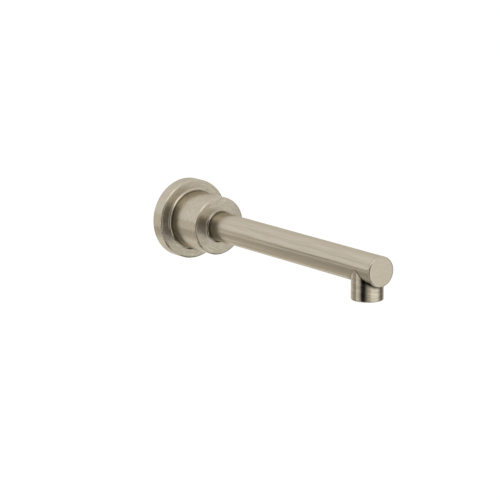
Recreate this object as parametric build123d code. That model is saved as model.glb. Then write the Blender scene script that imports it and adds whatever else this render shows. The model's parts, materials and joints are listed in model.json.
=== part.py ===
"""Wall mounted bath spout: wall flange, hub, long straight tube and a short outlet with an aerator.

Millimetres. The finished wall is the plane y = 0, the spout's axis runs from the origin along -Y, and Z is up.
A turned piece's outline is a list of (distance, radius) corners that goes outwards first. A third number makes the
side that ends there an arc of that radius, hollow above zero and bulging below it. On the spout's axis the distance
is measured from the wall, on the outlet's axis it is the height above the spout's axis, and on the set screw's axis
it is the depth below it.
"""

import os
from math import sqrt

from build123d import *

# Clearances
slide_gap = 0.1  # flange on hub
turn_gap = 0.08  # metal that turns in metal
seal_gap = 0.05  # squeezed ring against the metal that it seals
joint_gap = 0.05  # pieces that are brazed, screwed or pressed together
seam = 0.15  # visible line between the tube and its end cap
cutter_excess = 1  # how far a cutter runs past what it cuts

# Wall flange
flange_diameter = 69
flange_thickness = 12
flange_rim = 4
flange_web = 3.5
flange_lip = 1.2
flange_edge = 1.6
gasket_thickness = 1
grip_groove_width = 1.8
grip_groove_depth = 1.2

# Raised collars that the flange has around the hub, and the hub around the tube
collar_fillet = 2.1
collar_land = 0.2

# Hub
hub_diameter = 50
hub_front = 50
hub_setback = 3
hub_wall = 3
hub_front_wall = 6
hub_edge = 1.6

# Tube and end cap
tube_diameter = 25
tube_wall = 1.5
tube_seat = 3
cap_thickness = 2.4
cap_edge = 1.5
cap_plug_length = 4
cap_overhang = 4.5

# Outlet and aerator, stacked downwards from the tube's underside
reach = 250
outlet_diameter = 26
outlet_edge = 1
seat_land = 1.9
washer_thickness = 1.6
housing_height = 8
housing_recess = 1
aerator_bore = 23
waterway = 20
saddle_rise = 0.6
saddle_ridge = 2
housing_wall = 1.3
housing_ledge = 1.2
housing_ledge_width = 0.9
key_slots = 6
key_slot_width = 1.6
key_slot_depth = 1.2
key_slot_height = 0.6
honeycomb_height = 3
honeycomb_cell = 2.1
honeycomb_web = 0.4
grid_thickness = 0.8
grid_slots = 6
grid_bar = 0.7
disc_thickness = 1.2
disc_holes = 10
disc_hole_diameter = 2
dome_wall = 0.8
dome_rise = 4.5
dome_slots = 8
dome_slot_width = 1.2
dome_middle_radius = 3.2
dome_slot_margin = 1.4

# Wall adapter, stacked outwards from the wall
supply_thread = 18.6
supply_depth = 15
adapter_diameter = 28
adapter_setback = 2
adapter_key = 12
lock_groove_depth = 1.2
seal_groove_width = 1.8
seal_groove_depth = 1.5
seal_land = 1.2

# Inlet socket, ferrule and lock nut
socket_setback = 9
socket_wall = 4.6
socket_flats = 33
socket_land = 2.5
ferrule_thread = 19
ferrule_bore = 15
ferrule_plug_length = 10
nut_flats = 27
nut_height = 4.5
end_gap = 0.4

# Set screw
screw_diameter = 5.9
screw_margin = 1.1
screw_hole_gap = 0.4
screw_recess = 2.1
screw_key = 3
screw_key_depth = 3.5
pad_diameter = 4.4
pad_length = 1.8
pad_gap = 0.3

# Radii and places that follow from the sizes above
flange_radius = flange_diameter / 2
hub_radius = hub_diameter / 2
tube_radius = tube_diameter / 2
tube_bore_radius = tube_radius - tube_wall
outlet_radius = outlet_diameter / 2
waterway_radius = waterway / 2
adapter_radius = adapter_diameter / 2
socket_bore_radius = adapter_radius + turn_gap
socket_radius = socket_bore_radius + socket_wall
ferrule_radius = ferrule_thread / 2
screw_radius = screw_diameter / 2
pad_radius = pad_diameter / 2

flange_bore_radius = hub_radius + slide_gap
flange_collar_front = flange_thickness + collar_fillet
hub_inner_front = hub_front - hub_front_wall
tube_start = hub_front - tube_seat
cap_front = reach + outlet_radius + cap_overhang
tube_end = cap_front - cap_thickness - seam

washer_top = -tube_radius - seat_land
housing_top = washer_top - washer_thickness
housing_bottom = housing_top - housing_height
outlet_bottom = housing_bottom - housing_recess
housing_radius = aerator_bore / 2 - turn_gap
insert_radius = housing_radius - housing_wall - joint_gap
ledge_radius = insert_radius - housing_ledge_width
honeycomb_bottom = housing_bottom + housing_ledge
grid_bottom = honeycomb_bottom + honeycomb_height
disc_bottom = grid_bottom + grid_thickness
dome_bottom = disc_bottom + disc_thickness
dome_radius = waterway_radius - dome_wall

screw_hole_radius = screw_radius + screw_hole_gap
screw_place = flange_collar_front + screw_margin + screw_hole_radius
lock_groove_start = screw_place - pad_radius - pad_gap
lock_groove_end = screw_place + pad_radius + pad_gap
seal_groove_start = lock_groove_end + seal_land
seal_groove_end = seal_groove_start + seal_groove_width
adapter_front = seal_groove_end + seal_land
lock_groove_radius = adapter_radius - lock_groove_depth
pad_tip = lock_groove_radius + pad_gap
screw_tip = pad_tip + pad_length
screw_end = hub_radius - screw_recess

socket_floor = adapter_front + end_gap
ferrule_start = socket_floor + socket_land
nut_start = hub_inner_front - nut_height
socket_front = nut_start - end_gap

# Each axis as a frame whose +Y runs along the piece
spout_axis = Location((0, 0, 0), (180, 0, 0))
outlet_axis = Location((0, -reach, 0), (90, 0, 0))
screw_axis = Location((0, -screw_place, 0), (-90, 0, 0))


def turned(axis, *corners):
    """A solid of revolution about the axis, from its outline's corners."""
    sides = []
    previous = corners[-1]
    for corner in corners:
        start = (previous[1], previous[0])
        end = (corner[1], corner[0])
        sides.append(RadiusArc(start, end, corner[2]) if len(corner) == 3 else Line(start, end))
        previous = corner
    return axis * revolve(make_face(sides), Axis.Y)


def ring(axis, start, end, inner, outer):
    """A plain ring or washer between two radii."""
    return turned(axis, (start, inner), (start, outer), (end, outer), (end, inner))


def rod(axis, start, end, radius):
    """A plain round bar, mostly used to drill a hole."""
    return turned(axis, (start, 0), (start, radius), (end, radius), (end, 0))


def hexagon(axis, start, end, flats):
    """A hexagonal bar between two flats."""
    section = Plane(origin=(0, start, 0), x_dir=(1, 0, 0), z_dir=(0, 1, 0))
    return axis * extrude(section * RegularPolygon(flats / 2, 6, major_radius=False), end - start)


def block(axis, start, end, width, depth, offset=0):
    """A square bar, offset sideways along its depth, mostly used to cut a slot."""
    return axis * Pos(0, (start + end) / 2, offset) * Box(width, end - start, depth)


def around(axis, count, cutter):
    """Copies of a cutter, evenly spaced about the axis."""
    return [axis * Rot(0, 360 * i / count, 0) * axis.inverse() * cutter for i in range(count)]


def flange():
    """The wall flange: a hollow disc with a raised collar that slides on the hub."""
    lip_radius = flange_radius - flange_lip
    rim_radius = flange_radius - flange_rim
    web_back = flange_thickness - flange_web
    land_radius = flange_bore_radius + collar_land
    groove_radius = flange_bore_radius + grip_groove_depth
    groove_start = web_back + (flange_collar_front - web_back - grip_groove_width) / 2
    plate = turned(
        spout_axis,
        (0, lip_radius),
        (0, flange_radius),
        (flange_thickness - flange_edge, flange_radius),
        (flange_thickness, flange_radius - flange_edge, -flange_edge),
        (flange_thickness, land_radius + collar_fillet),
        (flange_collar_front, land_radius, collar_fillet),
        (flange_collar_front, flange_bore_radius),
        (groove_start + grip_groove_width, flange_bore_radius),
        (groove_start + grip_groove_width, groove_radius),
        (groove_start, groove_radius),
        (groove_start, flange_bore_radius),
        (web_back, flange_bore_radius),
        (web_back, rim_radius),
        (gasket_thickness, rim_radius),
        (gasket_thickness, lip_radius),
    )
    grip_start = groove_start + joint_gap
    grip_end = groove_start + grip_groove_width - joint_gap
    return {
        "escutcheon_plate": plate,
        "escutcheon_oring": ring(
            spout_axis, grip_start, grip_end, hub_radius + seal_gap, groove_radius - joint_gap
        ),
        "wall_gasket": ring(spout_axis, 0, gasket_thickness, rim_radius, lip_radius - joint_gap),
    }


def wall_adapter():
    """The sleeve that stays on the supply pipe, with its seal."""
    thread_end = adapter_setback + supply_depth
    thread_radius = supply_thread / 2
    groove_radius = adapter_radius - seal_groove_depth
    sleeve = turned(
        spout_axis,
        (adapter_setback, thread_radius),
        (adapter_setback, adapter_radius),
        (lock_groove_start, adapter_radius),
        (lock_groove_start, lock_groove_radius),
        (lock_groove_end, lock_groove_radius),
        (lock_groove_end, adapter_radius),
        (seal_groove_start, adapter_radius),
        (seal_groove_start, groove_radius),
        (seal_groove_end, groove_radius),
        (seal_groove_end, adapter_radius),
        (adapter_front, adapter_radius),
        (adapter_front, 0),
        (thread_end, 0),
        (thread_end, thread_radius),
    )
    seal = ring(
        spout_axis,
        seal_groove_start + joint_gap,
        seal_groove_end - joint_gap,
        groove_radius + joint_gap,
        socket_bore_radius - seal_gap,
    )
    return {
        "wall_adapter": sleeve - hexagon(spout_axis, thread_end, adapter_front, adapter_key),
        "adapter_oring": seal,
    }


def hub():
    """The hub: a turned shell with a raised collar around the tube and a hole for the set screw."""
    inner_radius = hub_radius - hub_wall
    nose_radius = ferrule_radius + joint_gap
    seat_radius = tube_radius + joint_gap
    land_radius = seat_radius + collar_land
    shell = turned(
        spout_axis,
        (hub_setback, inner_radius),
        (hub_setback, hub_radius),
        (hub_front - hub_edge, hub_radius),
        (hub_front, hub_radius - hub_edge, -hub_edge),
        (hub_front, land_radius + collar_fillet),
        (hub_front + collar_fillet, land_radius, collar_fillet),
        (hub_front + collar_fillet, seat_radius),
        (tube_start, seat_radius),
        (tube_start, nose_radius),
        (hub_inner_front, nose_radius),
        (hub_inner_front, inner_radius),
    )
    return {"hub_shell": shell - rod(screw_axis, 0, hub_diameter, screw_hole_radius)}


def inlet():
    """The socket that turns on the wall adapter, and the nut and ferrule that hold hub and tube."""
    thread_radius = ferrule_radius + joint_gap
    bore_radius = ferrule_bore / 2
    plug_radius = tube_bore_radius - joint_gap
    socket = turned(
        spout_axis,
        (socket_setback, socket_bore_radius),
        (socket_setback, socket_radius),
        (socket_front, socket_radius),
        (socket_front, thread_radius),
        (ferrule_start - joint_gap, thread_radius),
        (ferrule_start - joint_gap, bore_radius),
        (socket_floor, bore_radius),
        (socket_floor, socket_bore_radius),
    )
    flat_depth = socket_radius - socket_flats / 2
    flat_middle = (socket_radius + socket_flats / 2) / 2
    for side in (-1, 1):
        flat = block(spout_axis, socket_floor, socket_front, socket_radius, flat_depth, side * flat_middle)
        socket -= spout_axis * Rot(0, 90, 0) * spout_axis.inverse() * flat
    ferrule = turned(
        spout_axis,
        (ferrule_start, bore_radius),
        (ferrule_start, ferrule_radius),
        (tube_start, ferrule_radius),
        (tube_start, plug_radius),
        (tube_start + ferrule_plug_length, plug_radius),
        (tube_start + ferrule_plug_length, bore_radius),
    )
    nut = hexagon(spout_axis, nut_start, hub_inner_front, nut_flats)
    return {
        "inlet_socket": socket - rod(screw_axis, 0, hub_diameter, screw_radius + turn_gap),
        "tube_ferrule": ferrule,
        "lock_nut": nut - rod(spout_axis, 0, hub_front, thread_radius),
    }


def tube():
    """The long tube, open below into the outlet, and the cap that closes its end."""
    pipe = ring(spout_axis, tube_start, tube_end, tube_bore_radius, tube_radius)
    plug_radius = tube_bore_radius - joint_gap
    cap_back = tube_end + seam
    cap = turned(
        spout_axis,
        (tube_end - cap_plug_length, 0),
        (tube_end - cap_plug_length, plug_radius),
        (cap_back, plug_radius),
        (cap_back, tube_radius),
        (cap_front - cap_edge, tube_radius),
        (cap_front, tube_radius - cap_edge, -cap_edge),
        (cap_front, 0),
    )
    return {
        "spout_tube": pipe - rod(outlet_axis, washer_top, 0, waterway_radius),
        "end_cap": cap,
    }


def outlet():
    """The outlet stub, mitred to a ridge on each side and coped to sit on the tube."""
    stub = turned(
        outlet_axis,
        (outlet_bottom, aerator_bore / 2),
        (outlet_bottom, outlet_radius - outlet_edge),
        (outlet_bottom + outlet_edge, outlet_radius, -outlet_edge),
        (saddle_rise, outlet_radius),
        (saddle_rise, waterway_radius),
        (washer_top, waterway_radius),
        (washer_top, aerator_bore / 2),
    )
    reach_out = outlet_radius + cutter_excess
    mitre = make_face(
        Polyline(
            (-reach_out, outlet_bottom - cutter_excess),
            (reach_out, outlet_bottom - cutter_excess),
            (reach_out, saddle_rise - reach_out),
            (0, saddle_rise),
            (-reach_out, saddle_rise - reach_out),
            close=True,
        )
    )
    mitre = fillet(mitre.vertices().sort_by(Axis.Y)[-1], saddle_ridge)
    keep = Location((-reach_out, -reach, 0)) * extrude(Plane.YZ * mitre, 2 * reach_out)
    saddle = rod(spout_axis, tube_start, cap_front, tube_radius + joint_gap)
    return {"outlet_stub": (stub & keep) - saddle}


def aerator():
    """The aerator: a screwed housing with key slots, and the filter, discs and grille inside it."""
    housing = turned(
        outlet_axis,
        (housing_bottom, ledge_radius),
        (housing_bottom, housing_radius),
        (housing_top, housing_radius),
        (housing_top, insert_radius + joint_gap),
        (honeycomb_bottom, insert_radius + joint_gap),
        (honeycomb_bottom, ledge_radius),
    )
    slot = block(
        outlet_axis,
        housing_bottom,
        housing_bottom + key_slot_height,
        key_slot_width,
        2 * key_slot_depth,
        ledge_radius,
    )
    washer = ring(outlet_axis, housing_top, washer_top, dome_radius + dome_wall, housing_radius)
    return {
        "aerator_washer": washer,
        "aerator_housing": housing - around(outlet_axis, key_slots, slot),
        "filter_dome": filter_dome(),
        "flow_disc": flow_disc(),
        "straightener_grid": straightener_grid(),
        "honeycomb_grille": honeycomb(),
    }


def honeycomb():
    """The grille at the mouth: hexagonal cells, whole ones only, inside a plain rim."""
    pitch = honeycomb_cell + honeycomb_web
    last_centre = ledge_radius - honeycomb_cell / sqrt(3)
    rows = 2 * int(last_centre / pitch) + 3
    spots = [spot for spot in HexLocations(pitch / 2, rows, rows) if spot.position.length < last_centre]
    section = Plane(origin=(0, honeycomb_bottom, 0), x_dir=(1, 0, 0), z_dir=(0, 1, 0))
    cell = RegularPolygon(honeycomb_cell / 2, 6, major_radius=False)
    cells = extrude(section * Sketch([spot * cell for spot in spots]), honeycomb_height)
    plate = rod(outlet_axis, honeycomb_bottom, grid_bottom, insert_radius)
    return plate - outlet_axis * cells


def straightener_grid():
    """A slotted disc above the honeycomb."""
    pitch = 2 * ledge_radius / grid_slots
    slot = pitch - grid_bar
    disc = rod(outlet_axis, grid_bottom, disc_bottom, insert_radius)
    for i in range(grid_slots):
        offset = (i + 0.5) * pitch - ledge_radius
        far_side = abs(offset) + slot / 2
        length = 2 * sqrt(ledge_radius**2 - far_side**2)
        disc -= block(outlet_axis, grid_bottom, disc_bottom, length, slot, offset)
    return disc


def flow_disc():
    """A drilled disc that breaks the flow."""
    disc = rod(outlet_axis, disc_bottom, dome_bottom, insert_radius)
    circle = (insert_radius + disc_hole_diameter) / 2
    hole = Pos(0, 0, circle) * rod(Location(), disc_bottom, dome_bottom, disc_hole_diameter / 2)
    return disc - around(outlet_axis, disc_holes, outlet_axis * hole)


def filter_dome():
    """The slotted dome on top, held by its rim between the flow disc and the washer."""
    sphere = (dome_radius**2 + dome_rise**2) / (2 * dome_rise)
    inner_rise = dome_rise - dome_wall
    inner_radius = dome_radius - dome_wall
    inner_sphere = (inner_radius**2 + inner_rise**2) / (2 * inner_rise)
    dome = turned(
        outlet_axis,
        (dome_bottom, inner_radius),
        (dome_bottom, insert_radius),
        (housing_top, insert_radius),
        (housing_top, dome_radius),
        (housing_top + dome_rise, 0, -sphere),
        (housing_top + inner_rise, 0),
        (housing_top, inner_radius, inner_sphere),
    )
    slot_end = dome_radius - dome_slot_margin
    slot = block(
        outlet_axis,
        housing_top,
        housing_top + dome_rise,
        dome_slot_width,
        slot_end - dome_middle_radius,
        (slot_end + dome_middle_radius) / 2,
    )
    return dome - around(outlet_axis, dome_slots, slot)


def set_screw():
    """The hexagon socket screw under the hub, and the pad at its tip that reaches into the adapter's groove."""
    screw = rod(screw_axis, screw_tip, screw_end, screw_radius)
    return {
        "set_screw": screw - hexagon(screw_axis, screw_end - screw_key_depth, screw_end, screw_key),
        "screw_pad": rod(screw_axis, pad_tip, screw_tip, pad_radius),
    }


os.makedirs("parts", exist_ok=True)
for group in (wall_adapter(), inlet(), hub(), tube(), outlet(), flange(), set_screw(), aerator()):
    for name, solid in group.items():
        export_step(solid, f"parts/{name}.step")
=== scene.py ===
"""Looks of the wall mounted bath spout: brushed nickel outside, brass, steel, rubber and plastic inside.

The spout's axis is Y, its outlet's axis is Z, and the wall is the plane y = 0.
"""

import json
from math import copysign, cos, pi, radians, sin, tan

import bmesh
import bpy
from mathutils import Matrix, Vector


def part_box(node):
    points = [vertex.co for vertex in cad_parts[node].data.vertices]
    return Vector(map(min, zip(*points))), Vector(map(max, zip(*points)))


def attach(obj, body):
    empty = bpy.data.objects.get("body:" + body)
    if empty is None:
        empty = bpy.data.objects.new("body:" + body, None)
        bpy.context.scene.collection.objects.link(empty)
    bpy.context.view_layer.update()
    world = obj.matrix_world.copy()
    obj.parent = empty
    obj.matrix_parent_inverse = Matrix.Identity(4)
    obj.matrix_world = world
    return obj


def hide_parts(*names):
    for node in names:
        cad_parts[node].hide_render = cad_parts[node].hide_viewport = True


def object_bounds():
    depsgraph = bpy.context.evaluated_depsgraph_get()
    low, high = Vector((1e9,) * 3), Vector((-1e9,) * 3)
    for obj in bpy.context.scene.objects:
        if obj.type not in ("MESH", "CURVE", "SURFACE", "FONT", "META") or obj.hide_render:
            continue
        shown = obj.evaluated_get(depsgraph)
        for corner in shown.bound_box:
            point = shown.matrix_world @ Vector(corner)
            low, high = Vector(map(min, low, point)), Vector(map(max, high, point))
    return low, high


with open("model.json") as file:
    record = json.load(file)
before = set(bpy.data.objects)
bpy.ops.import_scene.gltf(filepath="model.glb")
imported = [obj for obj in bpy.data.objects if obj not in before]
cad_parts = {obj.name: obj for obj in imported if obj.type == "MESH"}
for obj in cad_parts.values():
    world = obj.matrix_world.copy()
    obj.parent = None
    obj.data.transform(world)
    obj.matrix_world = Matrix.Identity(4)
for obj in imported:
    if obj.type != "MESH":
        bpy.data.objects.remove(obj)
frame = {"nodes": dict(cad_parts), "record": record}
cad_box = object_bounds()

MM = 0.001

# Camera, in front of the spout and to its left
camera_azimuth = radians(-36.26)
camera_elevation = radians(12.43)
camera_distance = 1.996
camera_lens = 164.9
camera_aim = Vector((0.0411, -0.0379, -0.0284))

# Brushed nickel: its colours, and the lines that the brush leaves, as their width and their length
nickel_light = (0.65, 0.591, 0.481)
nickel_dark = (0.41, 0.367, 0.296)
nickel_edge = (0.69, 0.655, 0.59)
fine_line = (0.11 * MM, 8 * MM)
broad_line = (0.6 * MM, 4 * MM)
tube_line = (0.6 * MM, 30 * MM)
outlet_line = (0.6 * MM, 10 * MM)
fine_share = 0.4
brush_depth = 0.02 * MM
brush_bump = 0.5

# How its round sides and flat faces differ, how late one turns into the other, and the quarter turn that
# lays stretched highlights across the lines
side_roughness = 0.21
face_roughness = 0.32
side_stretch = 0.45
face_stretch = 0.85
side_contrast = 1.2
outlet_contrast = 3
face_contrast = 2.8
face_onset = 4
highlight_turn = 0.25

# The end cap, brushed straight across, with the number of its lines in a metre along each axis
cap_roughness = 0.3
cap_grain = (150, 1500, 3000)
cap_depth = 0.01 * MM

# The joint of outlet and tube gets painted shade below the tube. The painted shade sets in at one
# distance in front of the outlet's axis and is full at another.
joint_width = 3 * MM
joint_painted_shade = 0.1
joint_front = (4 * MM, 9 * MM)

# Painted shade in the corners at the feet of tube and hub, dark up to a width. They are darkest where the
# first share of what is around them is open, and plain at the second.
corner_width = 6 * MM
corner_open = (0.6, 1)
corner_painted_shade = 0.03
corner_samples = 8

# Turned brass
brass_light = (0.83, 0.65, 0.36)
brass_dark = (0.3, 0.2, 0.07)
brass_roughness = 0.3
lathe_line = (0.45 * MM, 40 * MM)
lathe_depth = 0.02 * MM

# Plain materials: two colours that mottle, metal or not, roughness, mottles in a metre, depth of grain
plain_looks = {
    "screw_steel": ((0.4, 0.4, 0.41), (0.52, 0.52, 0.53), 1, 0.35, 400, 0.01 * MM),
    "seal_rubber": ((0.016, 0.016, 0.018), (0.03, 0.03, 0.032), 0, 0.65, 300, 0.02 * MM),
    "foam": ((0.05, 0.05, 0.055), (0.09, 0.09, 0.095), 0, 0.9, 500, 0.15 * MM),
    "grey_plastic": ((0.38, 0.39, 0.4), (0.45, 0.46, 0.47), 0, 0.4, 300, 0.01 * MM),
    "white_plastic": ((0.74, 0.74, 0.72), (0.82, 0.82, 0.8), 0, 0.35, 300, 0.01 * MM),
}
plain_nodes = {
    "screw_steel": ["set_screw"],
    "seal_rubber": ["adapter_oring", "escutcheon_oring", "aerator_washer"],
    "foam": ["wall_gasket"],
    "grey_plastic": ["aerator_housing"],
    "white_plastic": ["filter_dome", "flow_disc", "straightener_grid", "honeycomb_grille"],
}
grains_in_mottle = 20

# Every noise's roughness, and the radius within which a direction around an axis isn't kept
noise_roughness = 0.55
smallest_radius = 0.1 * MM

# Threads: a 1/2 in pipe thread in the supply bore, and 1 mm on the aerator and the set screw. A groove
# takes up groove_share of the pitch at its mouth, and its wedge stands proud of the surface by a margin.
supply_pitch = 1.814 * MM
supply_groove = 1.1 * MM
fine_pitch = 1 * MM
fine_groove = 0.5 * MM
groove_share = 0.9
thread_margin = 0.1 * MM
thread_steps = 64
weld_distance = 0.001 * MM
sharp_angle = radians(18)

# Studio
sky_light = 0.62
floor_drop = 0.9
floor_reach = 30
floor_grey = 0.86
floor_glow = 0.5
white_card = (1, 1, 0.97)
warm_card = (1, 0.96, 0.89)
screen_steps = 12
wall_end = Vector((0, 0, 0))
tube_middle = Vector((0, -0.16, 0))

# Curved screens: what they stand around, how far away, from and to which azimuth, from and to which
# elevation, in degrees, how bright their two ends are, and their colour
screens = {
    "dark_side": (wall_end, 0.5, (-56, -32), (-45, 33), (0.01, 0.01), warm_card),
    "fading_side": (wall_end, 0.5, (-32, -6), (-45, 31), (0.01, 0.92), warm_card),
    "near_side": (wall_end, 0.5, (-92, -62), (-36, 24), (1, 0.55), warm_card),
    "far_fade": (wall_end, 3, (-108, -76), (-36, 24), (0.95, 0.05), warm_card),
    "far_side": (wall_end, 3, (-76, -52), (-36, 24), (0.05, 0.01), warm_card),
    "dark_low": (wall_end, 0.42, (-36, 6), (-46, -20), (0.01, 0.1), warm_card),
    "dark_floor": (wall_end, 0.3, (-112, 125), (-88, -51), (0.03, 0.03), warm_card),
    "floor_side": (wall_end, 0.42, (24, 70), (-60, -36), (0.38, 0.5), warm_card),
    "right_low": (wall_end, 0.42, (85, 128), (-63, -20), (0.1, 0.1), warm_card),
    "front_wall": (tube_middle, 1.2, (-5, 100), (5, 55), (0.9, 0.9), white_card),
    "high_card": (tube_middle, 1.2, (-125, -5), (33, 80), (1.45, 1.45), white_card),
    "low_upper": (tube_middle, 0.4, (-165, -112), (-13, 4), (0.92, 0.65), warm_card),
    "low_middle": (tube_middle, 0.4, (-165, -112), (-31, -12), (0.7, 0.28), warm_card),
    "dark_line": (tube_middle, 0.38, (-150, -130), (-5, 3), (0.85, 0.05), warm_card),
    "low_lower": (tube_middle, 0.4, (-190, -112), (-72, -31), (0.85, 0.3), warm_card),
    "high_band": (tube_middle, 0.4, (-165, -112), (26, 40), (0.88, 0.88), white_card),
    "front_card": (tube_middle, 1.2, (-20, 34), (-19, 5), (1.2, 1.2), white_card),
    "front_fade": (tube_middle, 1.2, (34, 60), (-35, 5), (1.15, 0.25), white_card),
    "right_strip": (tube_middle, 1.2, (60, 95), (-35, 5), (0.25, 0.25), warm_card),
}


def direction(azimuth, elevation):
    """A unit vector away from the object, with azimuth 0 towards its front and 90 towards its right."""
    return Vector((sin(azimuth) * cos(elevation), -cos(azimuth) * cos(elevation), sin(elevation)))


def place(name, data):
    """A new object in the scene."""
    made = bpy.data.objects.new(name, data)
    bpy.context.scene.collection.objects.link(made)
    return made


def aim(made, target, back, distance):
    """Puts a camera or a lamp at a distance from a target, on the side that back points to."""
    made.location = target + back * distance
    made.rotation_euler = back.to_track_quat("Z", "Y").to_euler()


def outlet_centre():
    """How far along the spout the outlet's axis is."""
    lowest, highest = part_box("outlet_stub")
    return (lowest.y + highest.y) / 2


class Nodes:
    """A material's or a world's node tree, with short ways to add nodes and links."""

    def __init__(self, owner, output="ShaderNodeOutputMaterial"):
        owner.use_nodes = True
        self.owner = owner
        self.tree = owner.node_tree
        self.tree.nodes.clear()
        self.output = self.add(output)

    def add(self, kind, **settings):
        node = self.tree.nodes.new(kind)
        for key, value in settings.items():
            setattr(node, key, value)
        return node

    def link(self, source, target):
        self.tree.links.new(source, target)

    def fill(self, sockets, values):
        """Gives each socket a value, which is another socket or a number."""
        for socket, value in zip(sockets, values):
            if isinstance(value, (int, float)):
                socket.default_value = value
            else:
                self.link(value, socket)

    def maths(self, operation, *values):
        """The result of a math node, whose inputs are sockets or numbers."""
        node = self.add("ShaderNodeMath", operation=operation)
        self.fill(node.inputs, values)
        return node.outputs[0]

    def between(self, factor, first, second):
        """A number between two others."""
        node = self.add("ShaderNodeMix", data_type="FLOAT")
        self.fill(node.inputs[0:1] + node.inputs[2:4], (factor, first, second))
        return node.outputs[0]

    def mix(self, factor, first, second):
        """A colour between two colours."""
        node = self.add("ShaderNodeMix", data_type="RGBA")
        self.link(factor, node.inputs["Factor"])
        node.inputs[6].default_value = (*first, 1)
        node.inputs[7].default_value = (*second, 1)
        return node.outputs[2]

    def darken(self, colour, factor):
        """A colour times a number."""
        node = self.add("ShaderNodeVectorMath", operation="SCALE")
        self.link(colour, node.inputs[0])
        self.link(factor, node.inputs["Scale"])
        return node.outputs[0]

    def fade(self, value, start, end, shade):
        """A number that rises smoothly from shade to 1 while the value goes from start to end."""
        node = self.add("ShaderNodeMapRange", interpolation_type="SMOOTHSTEP")
        self.link(value, node.inputs["Value"])
        node.inputs["From Min"].default_value = start
        node.inputs["From Max"].default_value = end
        node.inputs["To Min"].default_value = shade
        return node.outputs[0]

    def noise(self, vector, scale, detail=3.0):
        """A smooth noise between 0 and 1."""
        node = self.add("ShaderNodeTexNoise")
        self.link(vector, node.inputs["Vector"])
        node.inputs["Scale"].default_value = scale
        node.inputs["Detail"].default_value = detail
        node.inputs["Roughness"].default_value = noise_roughness
        return node.outputs["Fac"]

    def bump(self, height, distance, strength=1.0):
        """The normal of a surface with this height."""
        node = self.add("ShaderNodeBump")
        node.inputs["Strength"].default_value = strength
        node.inputs["Distance"].default_value = distance
        self.link(height, node.inputs["Height"])
        return node.outputs["Normal"]

    def surface(self, colour, normal, **values):
        """The surface shader, with constants set on its own sockets."""
        shader = self.add("ShaderNodeBsdfPrincipled")
        for name, value in values.items():
            shader.inputs[name.replace("_", " ")].default_value = value
        self.link(colour, shader.inputs["Base Color"])
        self.link(normal, shader.inputs["Normal"])
        self.link(shader.outputs[0], self.output.inputs["Surface"])
        return shader

    def coordinates(self, kind):
        """Places on the object, or directions, as the texture coordinates give them."""
        return self.add("ShaderNodeTexCoord").outputs[kind]

    def split(self, vector):
        """The three numbers of a vector."""
        node = self.add("ShaderNodeSeparateXYZ")
        self.link(vector, node.inputs[0])
        return node.outputs


def turned(nodes, axis, centre=0.0):
    """Distance from the axis, length along it and the direction around it, as two numbers."""
    x, y, z = nodes.split(nodes.coordinates("Object"))
    if axis == "Y":
        first, second, along = x, z, y
    else:
        first, second, along = x, nodes.maths("SUBTRACT", y, centre), z
    squares = nodes.maths("ADD", nodes.maths("POWER", first, 2), nodes.maths("POWER", second, 2))
    radius = nodes.maths("MAXIMUM", nodes.maths("SQRT", squares), smallest_radius)
    return radius, along, nodes.maths("DIVIDE", first, radius), nodes.maths("DIVIDE", second, radius)


def lines(nodes, axis, centre, line, lengthwise=False, detail=2.0):
    """Noise drawn out into fine lines, around the axis or along it.

    Lines around the axis are rings on flat faces, since the radius counts like the length there.
    """
    radius, along, side, rise = turned(nodes, axis, centre)
    width, length = line
    around, across = (width, length) if lengthwise else (length, width)
    turns = nodes.maths("DIVIDE", radius, around)
    if not lengthwise:
        along = nodes.maths("ADD", along, radius)
    joined = nodes.add("ShaderNodeCombineXYZ")
    nodes.link(nodes.maths("MULTIPLY", side, turns), joined.inputs[0])
    nodes.link(nodes.maths("MULTIPLY", rise, turns), joined.inputs[1])
    nodes.link(nodes.maths("DIVIDE", along, across), joined.inputs[2])
    return nodes.noise(joined.outputs[0], 1.0, detail)


def painted_shade_under_tube(nodes):
    """Paints shade into the outlet's colour at the joint with the tube, at the front, below the tube's
    end.
    """
    lowest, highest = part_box("spout_tube")
    tube_radius = (highest.x - lowest.x) / 2
    radius, along = turned(nodes, "Y")[:2]
    below = nodes.fade(radius, tube_radius, tube_radius + joint_width, joint_painted_shade)
    start, end = (outlet_centre() - depth for depth in joint_front)
    return nodes.maths("MAXIMUM", below, nodes.fade(along, end, start, 0))


def painted_corner_shade(nodes):
    """Paints shade into the corner where a pipe comes out of another piece, wherever that piece is."""
    open_side = nodes.add("ShaderNodeAmbientOcclusion", samples=corner_samples)
    open_side.inputs["Distance"].default_value = corner_width
    return nodes.fade(open_side.outputs["AO"], *corner_open, corner_painted_shade)


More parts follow.
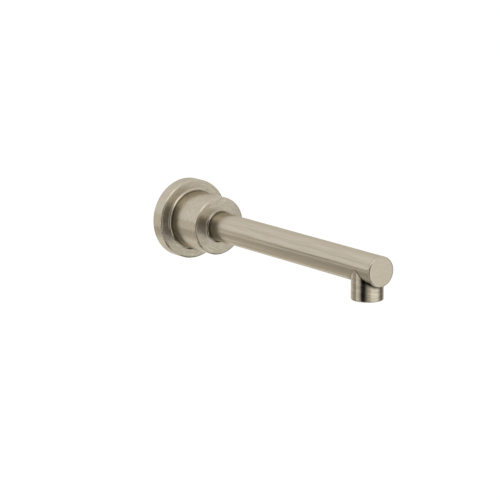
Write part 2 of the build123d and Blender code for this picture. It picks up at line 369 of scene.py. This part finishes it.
def brushed_nickel(
    name, axis="Y", centre=0.0, line=broad_line, contrast=side_contrast, lengthwise=False, shade=None
):
    """Nickel plate, brushed around the axis or along it: finer on the round sides than on flat faces."""
    nodes = Nodes(bpy.data.materials.new(name))
    fine = lines(nodes, axis, centre, fine_line, lengthwise)
    broad = lines(nodes, axis, centre, line, lengthwise, detail=3.0)
    height = nodes.between(fine_share, fine, broad)
    along_axis = nodes.split(nodes.coordinates("Normal"))["XYZ".index(axis)]
    facing = nodes.maths("POWER", nodes.maths("ABSOLUTE", along_axis), face_onset)
    strength = nodes.between(facing, contrast, face_contrast)
    tone = nodes.maths("MULTIPLY_ADD", nodes.maths("SUBTRACT", broad, 0.5), strength, 0.5)
    colour = nodes.mix(tone, nickel_dark, nickel_light)
    # Painted shade: the colour is darkened where shade falls, more on round sides than on flat faces
    if shade is not None:
        colour = nodes.darken(colour, nodes.between(facing, shade(nodes), 1))
    shader = nodes.surface(
        colour,
        nodes.bump(height, brush_depth, brush_bump),
        Metallic=1,
        Anisotropic_Rotation=highlight_turn,
        Specular_Tint=(*nickel_edge, 1),
    )
    nodes.link(nodes.between(facing, side_roughness, face_roughness), shader.inputs["Roughness"])
    nodes.link(nodes.between(facing, side_stretch, face_stretch), shader.inputs["Anisotropic"])
    tangent = nodes.add("ShaderNodeTangent", direction_type="RADIAL", axis=axis)
    nodes.link(tangent.outputs[0], shader.inputs["Tangent"])
    return nodes.owner


def brushed_cap(name):
    """The end cap's nickel plate, brushed straight across its flat face."""
    nodes = Nodes(bpy.data.materials.new(name))
    stretched = nodes.add("ShaderNodeMapping", vector_type="POINT")
    nodes.link(nodes.coordinates("Object"), stretched.inputs["Vector"])
    stretched.inputs["Scale"].default_value = cap_grain
    grain = nodes.noise(stretched.outputs[0], 1.0)
    nodes.surface(
        nodes.mix(grain, nickel_dark, nickel_light),
        nodes.bump(grain, cap_depth, brush_bump),
        Metallic=1,
        Roughness=cap_roughness,
        Specular_Tint=(*nickel_edge, 1),
    )
    return nodes.owner


def turned_brass(name):
    """Bare brass with the rings that a lathe leaves."""
    nodes = Nodes(bpy.data.materials.new(name))
    rings = lines(nodes, "Y", 0.0, lathe_line)
    colour = nodes.mix(rings, brass_dark, brass_light)
    nodes.surface(colour, nodes.bump(rings, lathe_depth), Metallic=1, Roughness=brass_roughness)
    return nodes.owner


def plain(name, first, second, metallic, roughness, mottles, grain):
    """A plain material with a slight mottle and a fine grain."""
    nodes = Nodes(bpy.data.materials.new(name))
    spot = nodes.coordinates("Object")
    colour = nodes.mix(nodes.noise(spot, mottles), first, second)
    normal = nodes.bump(nodes.noise(spot, grains_in_mottle * mottles), grain)
    nodes.surface(colour, normal, Metallic=metallic, Roughness=roughness)
    return nodes.owner


def dress(material, *names):
    """Gives CAD nodes a material, in their own material slots."""
    for name in names:
        for slot in frame["nodes"][name].material_slots:
            slot.material = material


def materials():
    """Dresses every CAD node."""
    dress(brushed_nickel("nickel_flange"), "escutcheon_plate")
    # Hub and tube get painted shade in the corners at their feet
    dress(brushed_nickel("nickel_hub", shade=painted_corner_shade), "hub_shell")
    dress(brushed_nickel("nickel_tube", line=tube_line, lengthwise=True, shade=painted_corner_shade), "spout_tube")
    dress(brushed_cap("nickel_cap"), "end_cap")
    outlet = ("Z", outlet_centre(), outlet_line, outlet_contrast)
    # The outlet gets painted shade at the joint below the tube
    dress(brushed_nickel("nickel_outlet", *outlet, shade=painted_shade_under_tube), "outlet_stub")
    brass = turned_brass("bare_brass")
    dress(brass, "wall_adapter", "inlet_socket", "tube_ferrule", "lock_nut", "screw_pad")
    for name, look in plain_looks.items():
        dress(plain(name, *look), *plain_nodes[name])


def change(mesh, operation, kind, **settings):
    """Runs one of bmesh's operations on all of a mesh's elements of a kind."""
    work = bmesh.new()
    work.from_mesh(mesh)
    operation(work, **{kind: getattr(work, kind)}, **settings)
    work.to_mesh(mesh)
    work.free()


def wedge(name, axis, centre, radius, groove, ends, pitch, run_out=0):
    """A wedge wound around an axis as a right-hand helix, from one end to the other.

    It cuts a groove outwards into a bore, or inwards into a bar where groove is negative. It gets shallow
    over run_out turns before its second end.
    """
    back = radius - copysign(thread_margin, groove)
    half = groove_share * pitch / 2
    advance = copysign(pitch, ends[1] - ends[0])
    count = round(thread_steps * (ends[1] - ends[0]) / advance)
    points = []
    for i in range(count + 1):
        turns = i / thread_steps
        turns_left = (count - i) / thread_steps
        tip = radius + groove * (min(1, turns_left / run_out) if run_out else 1)
        angle = copysign(2 * pi * turns, advance)
        for distance, shift in ((back, -half), (tip, 0), (back, half)):
            along = ends[0] + advance * turns + shift
            first, second = distance * cos(angle), distance * sin(angle)
            points.append((second, along, first) if axis == "Y" else (first, centre + second, along))
    faces = [(0, 1, 2), (3 * count + 2, 3 * count + 1, 3 * count)]
    for i in range(0, 3 * count, 3):
        faces += [(i + a, i + a + 3, i + b + 3, i + b) for a, b in ((0, 1), (1, 2), (2, 0))]
    mesh = bpy.data.meshes.new(name)
    mesh.from_pydata(points, [], faces)
    change(mesh, bmesh.ops.recalc_face_normals, "faces")
    return place(name, mesh)


def cut_thread(node, body, slot, *helix):
    """A copy of a CAD node with a thread cut into it, which stands for the node."""
    solid = frame["nodes"][node]
    mesh = bpy.data.meshes.new(node)
    mesh.from_pydata([v.co for v in solid.data.vertices], [], [p.vertices for p in solid.data.polygons])
    change(mesh, bmesh.ops.remove_doubles, "verts", dist=weld_distance)
    piece = place(node + "_threaded", mesh)
    cutter = wedge(node + "_cutter", *helix)
    cut = piece.modifiers.new("thread", "BOOLEAN")
    cut.operation = "DIFFERENCE"
    cut.object = cutter
    view = bpy.context.evaluated_depsgraph_get()
    threaded = bpy.data.meshes.new_from_object(piece.evaluated_get(view))
    piece.modifiers.clear()
    piece.data = threaded
    bpy.data.objects.remove(cutter)
    threaded.shade_smooth()
    threaded.set_sharp_from_angle(angle=sharp_angle)
    threaded.materials.clear()
    threaded.materials.append(solid.material_slots[0].material)
    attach(piece, body)
    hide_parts(node)


def threads():
    """Cuts the supply thread, which gets shallow before the bore ends, and those of aerator and screw."""
    supply = frame["record"]["mounts"][0]["dims"]
    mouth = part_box("wall_adapter")[1].y
    ends = (mouth + supply_pitch, mouth - supply["length_mm"] * MM + supply_pitch)
    bore = ("Y", 0, supply["r_mm"] * MM, supply_groove, ends, supply_pitch, 1)
    cut_thread("wall_adapter", "adapter", "bare_brass", *bore)
    bars = (("aerator_housing", "aerator", "grey_plastic"), ("set_screw", "screw", "screw_steel"))
    for node, body, slot in bars:
        low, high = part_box(node)
        ends = (low.z - fine_pitch, high.z + fine_pitch)
        bar = ("Z", (low.y + high.y) / 2, (high.x - low.x) / 2, -fine_groove, ends, fine_pitch)
        cut_thread(node, body, slot, *bar)


def camera():
    """The photograph's view."""
    made = place("camera", bpy.data.cameras.new("camera"))
    made.data.lens = camera_lens
    aim(made, camera_aim, direction(camera_azimuth, camera_elevation), camera_distance)
    bpy.context.scene.camera = made


def seen(nodes):
    """1 for rays that show the background, also in a reflection, and 0 for rays that carry its light."""
    path = nodes.add("ShaderNodeLightPath")
    shown = nodes.maths("MAXIMUM", path.outputs["Is Camera Ray"], path.outputs["Is Glossy Ray"])
    return nodes.maths("MAXIMUM", shown, path.outputs["Is Transmission Ray"])


def sky():
    """A white background that lights the object less than it shows."""
    world = bpy.data.worlds.new("studio")
    nodes = Nodes(world, "ShaderNodeOutputWorld")
    background = nodes.add("ShaderNodeBackground")
    background.inputs["Color"].default_value = (1, 1, 1, 1)
    nodes.link(nodes.maths("MAXIMUM", seen(nodes), sky_light), background.inputs["Strength"])
    nodes.link(background.outputs[0], nodes.output.inputs["Surface"])
    bpy.context.scene.world = world


def floor():
    """A pale floor that nothing sees from below."""
    nodes = Nodes(bpy.data.materials.new("studio_floor"))
    diffuse = nodes.add("ShaderNodeBsdfDiffuse")
    diffuse.inputs["Color"].default_value = (floor_grey, floor_grey, floor_grey, 1)
    glow = nodes.add("ShaderNodeEmission")
    nodes.link(nodes.maths("MULTIPLY", seen(nodes), floor_glow), glow.inputs["Strength"])
    both = nodes.add("ShaderNodeAddShader")
    nodes.link(diffuse.outputs[0], both.inputs[0])
    nodes.link(glow.outputs[0], both.inputs[1])
    one_sided = nodes.add("ShaderNodeMixShader")
    nodes.link(nodes.add("ShaderNodeNewGeometry").outputs["Backfacing"], one_sided.inputs[0])
    nodes.link(both.outputs[0], one_sided.inputs[1])
    nodes.link(nodes.add("ShaderNodeBsdfTransparent").outputs[0], one_sided.inputs[2])
    nodes.link(one_sided.outputs[0], nodes.output.inputs["Surface"])
    level = cad_box[0].z - floor_drop
    corners = [(floor_reach * x, floor_reach * y, level) for x, y in ((-1, -1), (1, -1), (1, 1), (-1, 1))]
    mesh = bpy.data.meshes.new("floor")
    mesh.from_pydata(corners, [], [(0, 1, 2, 3)])
    mesh.materials.append(nodes.owner)
    made = place("floor", mesh)


def screen(name, centre, distance, azimuths, elevations, shades, colour):
    """A curved screen that fades from its first side to its last, and that only reflections show."""
    nodes = Nodes(bpy.data.materials.new(name))
    glow = nodes.add("ShaderNodeEmission")
    glow.inputs["Color"].default_value = (*colour, 1)
    shade = nodes.add("ShaderNodeAttribute", attribute_name="shade")
    nodes.link(shade.outputs["Fac"], glow.inputs["Strength"])
    nodes.link(glow.outputs[0], nodes.output.inputs["Surface"])
    points = []
    levels = []
    for i in range(screen_steps + 1):
        along = i / screen_steps
        azimuth = radians(azimuths[0] + (azimuths[1] - azimuths[0]) * along)
        foot = centre + direction(azimuth, 0) * distance
        points += [foot + Vector((0, 0, distance * tan(radians(angle)))) for angle in elevations]
        levels += [shades[0] + (shades[1] - shades[0]) * along] * 2
    mesh = bpy.data.meshes.new(name)
    mesh.from_pydata(points, [], [(i, i + 1, i + 3, i + 2) for i in range(0, 2 * screen_steps, 2)])
    mesh.attributes.new("shade", "FLOAT", "POINT").data.foreach_set("value", levels)
    mesh.materials.append(nodes.owner)
    made = place(name, mesh)
    made.visible_camera = False
    made.visible_diffuse = False
    made.visible_transmission = False
    made.visible_shadow = False


def lamp(name, azimuth, elevation, distance, size, power):
    """A square soft box that faces the object, which no reflection shows."""
    made = place(name, bpy.data.lights.new(name, "AREA"))
    made.data.size = size
    made.data.energy = power
    aim(made, Vector(), direction(radians(azimuth), radians(elevation)), distance)
    made.visible_glossy = False


def studio():
    """Background, floor, two lamps and the screens."""
    sky()
    floor()
    lamp("key", azimuth=-80, elevation=70, distance=1.3, size=0.8, power=6)
    lamp("front", azimuth=12, elevation=45, distance=1.2, size=0.5, power=4)
    for name, settings in screens.items():
        screen(name, *settings)


bpy.context.scene.view_settings.view_transform = "Standard"
camera()
materials()
threads()
studio()
